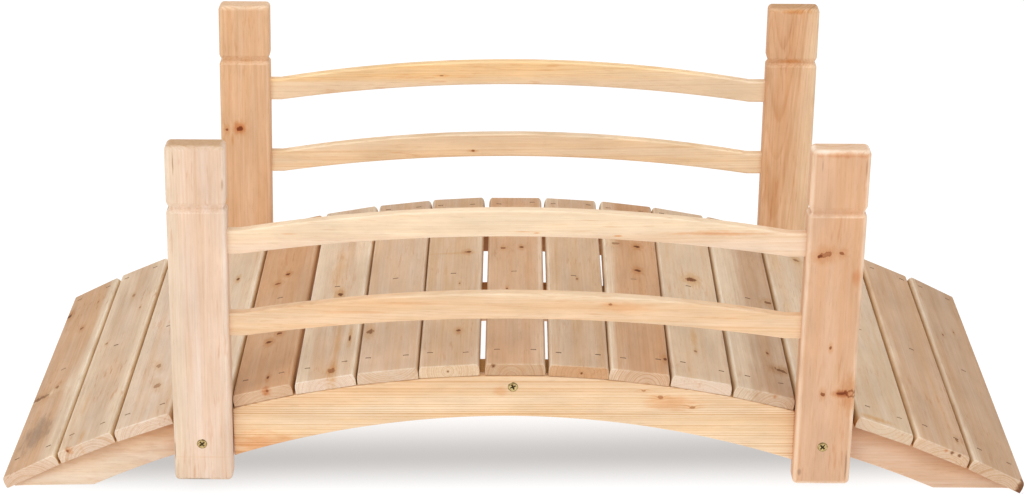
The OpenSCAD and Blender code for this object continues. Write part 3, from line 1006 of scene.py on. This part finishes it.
def make_beams():
    """The arch boards and the stringers under the deck."""
    beam_radius = DECK_RADIUS - (CREST_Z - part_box("middle_stringer")[1].z)

    def deck_arc(x):
        return ARC_Z + math.sqrt(beam_radius ** 2 - x ** 2)

    def middle_crown(x):
        return deck_arc(x) + far_rise(x) / 2

    def back_crown(x):
        return deck_arc(x) + far_rise(x)

    arch_foot = deck_arc(POST_SIDE_X) - ARCH_END_H
    arch_rise = deck_arc(0) - ARCH_MID_H - arch_foot

    def arch_low(x):
        sawn_low = ARCH_SLIP * max(0.0, x) / POST_SIDE_X
        return arch_foot + arc_height(x, POST_SIDE_X, arch_rise) - sawn_low

    def stringer_low(x):
        return max(0.0, ARC_Z + math.sqrt((DECK_RADIUS - STRINGER_H) ** 2 - x ** 2))

    def foot_sway(x):
        return -FOOT_SWAY * max(0.0, -x - SWAY_START_X) / SWAY_RUN

    for k, node in enumerate(("front_arch_board", "back_arch_board")):
        obj = bowed_board(node, [(0, 40)], arch_low, deck_arc)
        wood = timber(node, ARCH_BOARD, ARCH_GRAIN + GRAIN_STEP * k, eave_shade=ARCH_EAVE_SHADE)
        piece(obj, wood, "arch_wood", node)
    # Each one's wood, upper edge, sway and the strength of the shadow painted under the planks
    stringers = {"front_stringer": (STRINGER, deck_arc, foot_sway, 0.6),
                 "middle_stringer": (STRINGER, middle_crown, straight, 1.6),
                 "back_stringer": (BACK_STRINGER, back_crown, straight, 1.0)}
    for k, (node, (board, crown, sway, eave_shade)) in enumerate(stringers.items()):
        obj = bowed_board(node, [(0, 50), (FOOT_X, 12)], stringer_low, crown, sway)
        wood = timber(node, board, STRINGER_GRAIN + GRAIN_STEP * k, eave_shade=eave_shade,
                      top_shade=STRINGER_TOP_SHADE)
        piece(obj, wood, "stringer_wood", node)


# Fastenings

def screw_head_mesh():
    """A pan head with a cross recess, its seat at z = 0."""
    def recess(r, a):
        x, y = abs(r * math.cos(a)), abs(r * math.sin(a))
        edge = max(min(x, y) - RECESS_HALF_W, max(x, y) - RECESS_R)
        return min(1.0, max(0.0, 0.5 - edge / RECESS_WALL))

    def height(r, a):
        dome = SCREW_H * (1 - (r / SCREW_R) ** DOME_FLATNESS) ** DOME_SHOULDER if r < SCREW_R else 0.0
        return dome - RECESS_DEPTH * (1 - 0.5 * min(r / RECESS_R, 1.0)) * recess(r, a)

    turns = SCREW_TURNS
    places = [(0.0, 0.0)] + [(SCREW_R * math.sin(math.pi / 2 * k / SCREW_RINGS), 2 * math.pi * t / turns)
                             for k in range(1, SCREW_RINGS + 1) for t in range(turns)]
    points = [(r * math.cos(a), r * math.sin(a), height(r, a)) for r, a in places]
    points += [(x, y, -SCREW_SUNK) for x, y, _ in points[-turns:]]
    # recess and rim mark where shade is painted dark on the plating
    marks = {"recess": [recess(r, a) for r, a in places] + [0.0] * turns,
             "rim": [(r / SCREW_R) ** 6 for r, _ in places] + [1.0] * turns}
    faces = [(0, 1 + t, 1 + (t + 1) % turns) for t in range(turns)]
    for start in range(1, 1 + SCREW_RINGS * turns, turns):
        for t in range(turns):
            a, b = start + t, start + (t + 1) % turns
            faces.append((a, a + turns, b + turns, b))
    faces.append(tuple(range(len(points) - turns, len(points))))
    return solid_mesh("screw_head", points, faces, marks)


def staple_mesh():
    """The crown of a staple: a thin wire along X, half sunk, with its driven ends spread and turned down."""
    stops = [(-0.5, -1.0, STAPLE_TIP_R), (-0.42, -0.3, STAPLE_TIP_R), (-0.30, 0.0, STAPLE_R),
             (0.30, 0.0, STAPLE_R), (0.42, -0.3, STAPLE_TIP_R), (0.5, -1.0, STAPLE_TIP_R)]
    points, tips = [], []
    for along, drop, radius in stops:
        for k in range(STAPLE_SIDES):
            a = 2 * math.pi * k / STAPLE_SIDES
            height = STAPLE_R * (STAPLE_FLATNESS * math.sin(a) + drop)
            points.append((along * STAPLE_LEN, radius * math.cos(a), height))
            tips.append(1.0 if radius == STAPLE_TIP_R else 0.0)
    return solid_mesh("staple", points, tube_faces(STAPLE_SIDES, len(stops)), {"tip": tips})


def fastenings_tree():
    """Puts one fastening at each point, square to the wood, with a small random turn and its own wear."""
    n, given, result = new_group(
        "Fastenings", "GeometryNodeTree",
        {"Places": "geometry", "Fastening": "object", "Turn": "float", "Seed": "int", "Finish": "material"},
        {"Fastenings": "geometry"})

    def kept(name):
        return n.add("GeometryNodeInputNamedAttribute", {"Name": name}, data_type="FLOAT_VECTOR").outputs[0]

    facing = n.add("FunctionNodeAxesToRotation", {0: kept("outward"), 1: kept("lie")},
                   primary_axis="Z", secondary_axis="X").outputs[0]
    limits = {"Min": n.times(given["Turn"], -1.0), "Max": given["Turn"], "Seed": given["Seed"]}
    turn = n.add("FunctionNodeRandomValue", limits, data_type="FLOAT").outputs["Value"]
    spin = n.add("FunctionNodeEulerToRotation", {0: n.joined({2: turn})}).outputs[0]
    facing = n.add("FunctionNodeRotateRotation", {0: facing, 1: spin}, rotation_space="LOCAL").outputs[0]
    shape = n.add("GeometryNodeObjectInfo", {"Object": given["Fastening"]}).outputs["Geometry"]
    placed = n.add("GeometryNodeInstanceOnPoints",
                   {"Points": given["Places"], "Instance": shape, "Rotation": facing}).outputs[0]
    wear = n.add("FunctionNodeRandomValue", {"Seed": given["Seed"]}, data_type="FLOAT").outputs["Value"]
    worn = n.add("GeometryNodeStoreNamedAttribute", {"Geometry": placed, "Name": "wear", "Value": wear},
                 data_type="FLOAT", domain="INSTANCE").outputs[0]
    real = n.add("GeometryNodeRealizeInstances", {"Geometry": worn}).outputs[0]
    done = n.add("GeometryNodeSetMaterial", {"Geometry": real, "Material": given["Finish"]}).outputs[0]
    n.fill(result["Fastenings"], done)
    return n.tree


def fasten(name, shape, places, turn, finish, tree):
    """One piece of all the fastenings of a kind. places are (point, outward, lie)."""
    pattern = new_object(name + "_pattern", shape)
    points, outward, lie = zip(*places)
    mesh = bpy.data.meshes.new(name)
    mesh.from_pydata(points, [], [])
    keep_vectors(mesh, "outward", outward)
    keep_vectors(mesh, "lie", lie)
    obj = new_object(name, mesh)
    through_tree(obj, tree, {"Fastening": pattern, "Turn": turn, "Seed": SEED, "Finish": finish})
    bpy.data.objects.remove(pattern)
    piece(obj, None, "screw_metal")


def metal(name, colours, roughness, metallic, grain):
    """A metal, uneven between two colours: its material, its Nodes helper, its shader and its colour."""
    material, n, shader = new_material(name)
    place = n.add("ShaderNodeTexCoord").outputs["Object"]
    patch = n.noise(n.scaled(place, grain), 3.0)[0]
    n.fill(shader.inputs["Roughness"], n.step(patch, 0.2, 0.8, *roughness))
    shader.inputs["Metallic"].default_value = metallic
    return material, n, shader, n.mix(n.step(patch, 0.3, 0.7), *colours)


def yellow_plating():
    """Yellow passivated zinc: bright and a little uneven, with shade painted dark into the recess and round
    the rim.
    """
    colours = (srgb(168, 138, 88), srgb(224, 198, 142))
    material, n, shader, colour = metal("yellow_plating", colours, (0.14, 0.24), 1.0, 420.0)
    # Painted shade round the rim and in the recess
    colour = n.mix(n.times(n.mark("rim"), 0.85), colour, srgb(62, 46, 26))
    colour = n.mix(n.times(n.mark("recess"), 0.95), colour, srgb(44, 34, 18))
    n.fill(shader.inputs["Base Color"], colour)
    return material


def staple_wire():
    """Dull coated wire, some of it rubbed pale, darker at each driven end."""
    colours = (srgb(102, 77, 54), srgb(142, 112, 82))
    material, n, shader, colour = metal("staple_wire", colours, (0.5, 0.7), 0.2, 300.0)
    wear = n.mark("wear")
    colour = n.mix(n.times(wear, 0.6), colour, srgb(176, 142, 108))
    # Darker at each driven end, less on the more worn staples
    dark_end = n.times(n.mark("tip"), n.step(wear, 0.2, 1.0, 0.9, 0.4))
    n.fill(shader.inputs["Base Color"], n.mix(dark_end, colour, srgb(60, 42, 28)))
    return material


def screw_places():
    """One screw low on each post and one in the middle of each arch board."""
    arch_y = -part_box("front_arch_board")[0].y
    spots = [(x + POST_SCREW_SHIFT, POST_FACE_Y, POST_SCREW_Z) for x in (-POST_X, POST_X)]
    spots.append((ARCH_SCREW_X, arch_y, ARCH_SCREW_Z))
    return [((x, side * (y - SCREW_SUNK), z), (0, side, 0), (1, 0, 0))
            for side in (-1, 1) for x, y, z in spots]


def staple_places():
    """Staples over the three stringers, lying across each plank."""
    chance = random.Random(SEED + 1)
    places = []
    for i in PLANKS:
        turn = plank_turn(i)
        up = Vector((math.sin(turn), 0, math.cos(turn)))
        across = Vector((math.cos(turn), 0, -math.sin(turn)))
        for row, spots in STAPLE_ROWS.items():
            for spot in spots:
                u = spot + chance.uniform(-STAPLE_STRAY, STAPLE_STRAY)
                y = row + chance.uniform(-STAPLE_ROW_STRAY, STAPLE_ROW_STRAY)
                rise = far_rise(DECK_RADIUS * up.x) * (y / DECK_DEPTH + 0.5)
                point = Vector((0, y, ARC_Z + rise)) + up * (DECK_RADIUS + PLANK_T) + across * u
                places.append((point, up, across))
    return places


def make_fastenings():
    """The screws and the staples, one piece of each kind."""
    tree = fastenings_tree()
    fasten("pan_head_screws", screw_head_mesh(), screw_places(), math.pi, yellow_plating(), tree)
    fasten("deck_staples", staple_mesh(), staple_places(), STAPLE_TURN, staple_wire(), tree)


# Stage

CAMERA_PLACE = Vector((-0.0063, -3.8534, 1.7877))
CAMERA_PITCH = math.radians(21.701)
CAMERA_YAW = math.radians(0.032)
CAMERA_ROLL = math.radians(0.310)
SENSOR = 36.0
IMAGE_W = 1024
FOCAL_PX = 2625.6
FLOOR_HALF = 40.0
FLOOR_GREY = 0.15
FLOOR_GLOW = 0.95
# A soft shadow painted into the floor's glow under the arch: where it lies and slants, how far it reaches and
# how deep it is
SHADE_Y, SHADE_SLANT = -0.230, 0.037
SHADE_NEAR, SHADE_FAR = 0.135, 0.165
SHADE_X, SHADE_END_X = 0.60, 0.78
SHADE_DEPTH = 0.46
SKY = 0.45
# Name, place, what it faces, width, height and power of each light
SOFTBOXES = [
    ("key", (-2.6, -3.4, 2.8), (0, 0, 0.2), 3.6, 3.0, 80),
    ("fill", (2.8, -3.2, 2.6), (0, 0, 0.2), 3.0, 3.0, 40),
    ("top", (0, 0.2, 4.0), (0, 0, 0), 5.0, 4.0, 75),
]


def make_camera():
    """The camera fitted to the photograph."""
    forward = Vector((math.sin(CAMERA_YAW) * math.cos(CAMERA_PITCH),
                      math.cos(CAMERA_YAW) * math.cos(CAMERA_PITCH), -math.sin(CAMERA_PITCH)))
    right = Vector((math.cos(CAMERA_YAW), -math.sin(CAMERA_YAW), 0))
    up = right.cross(forward)
    roll_right = math.cos(CAMERA_ROLL) * right + math.sin(CAMERA_ROLL) * up
    roll_up = math.cos(CAMERA_ROLL) * up - math.sin(CAMERA_ROLL) * right
    data = bpy.data.cameras.new("camera")
    data.sensor_fit = "HORIZONTAL"
    data.sensor_width = SENSOR
    data.lens = FOCAL_PX * SENSOR / IMAGE_W
    camera = new_object("camera", data)
    turn = Matrix((roll_right, roll_up, -forward)).transposed().to_4x4()
    camera.matrix_world = Matrix.Translation(CAMERA_PLACE) @ turn
    bpy.context.scene.camera = camera


def make_floor():
    """A white light table, its glow lowered under the arch in a painted soft shadow."""
    corners = [(x * FLOOR_HALF, y * FLOOR_HALF, 0) for x, y in ((-1, -1), (1, -1), (1, 1), (-1, 1))]
    mesh = bpy.data.meshes.new("floor")
    mesh.from_pydata(corners, [], [(0, 1, 2, 3)])
    floor = new_object("floor", mesh)
    material, n, shader = new_material("pale_floor")
    shader.inputs["Base Color"].default_value = (FLOOR_GREY, FLOOR_GREY, FLOOR_GREY, 1)
    shader.inputs["Roughness"].default_value = 0.9
    shader.inputs["Specular IOR Level"].default_value = 0.0
    shader.inputs["Emission Color"].default_value = (1, 1, 1, 1)
    x, y, _ = n.split(n.add("ShaderNodeTexCoord").outputs["Object"])
    away = n.minus(y, n.plus(SHADE_Y, n.times(x, SHADE_SLANT)))
    away = n.math("MAXIMUM", n.over(away, SHADE_FAR), n.over(away, -SHADE_NEAR))
    beside = n.step(away, 0.0, 1.0, 1.0, 0.0)
    inside = n.step(n.math("ABSOLUTE", x), SHADE_X, SHADE_END_X, 1.0, 0.0)
    shade = n.times(n.times(beside, inside), SHADE_DEPTH)
    n.fill(shader.inputs["Emission Strength"], n.times(n.minus(1.0, shade), FLOOR_GLOW))
    mesh.materials.append(material)


def make_light():
    """A pale sky and three softboxes."""
    world = bpy.data.worlds.new("studio")
    world.use_nodes = True
    world.node_tree.nodes["Background"].inputs["Color"].default_value = (1, 1, 1, 1)
    world.node_tree.nodes["Background"].inputs["Strength"].default_value = SKY
    bpy.context.scene.world = world
    for name, place, target, width, height, power in SOFTBOXES:
        data = bpy.data.lights.new(name, "AREA")
        data.shape = "RECTANGLE"
        data.size, data.size_y = width, height
        data.energy = power
        light = new_object(name, data)
        light.location = place
        light.rotation_euler = (Vector(target) - Vector(place)).to_track_quat("-Z", "Y").to_euler()
    bpy.context.scene.view_settings.view_transform = "Standard"


make_camera()
make_planks()
make_posts()
make_rails()
make_beams()
make_fastenings()
make_floor()
make_light()
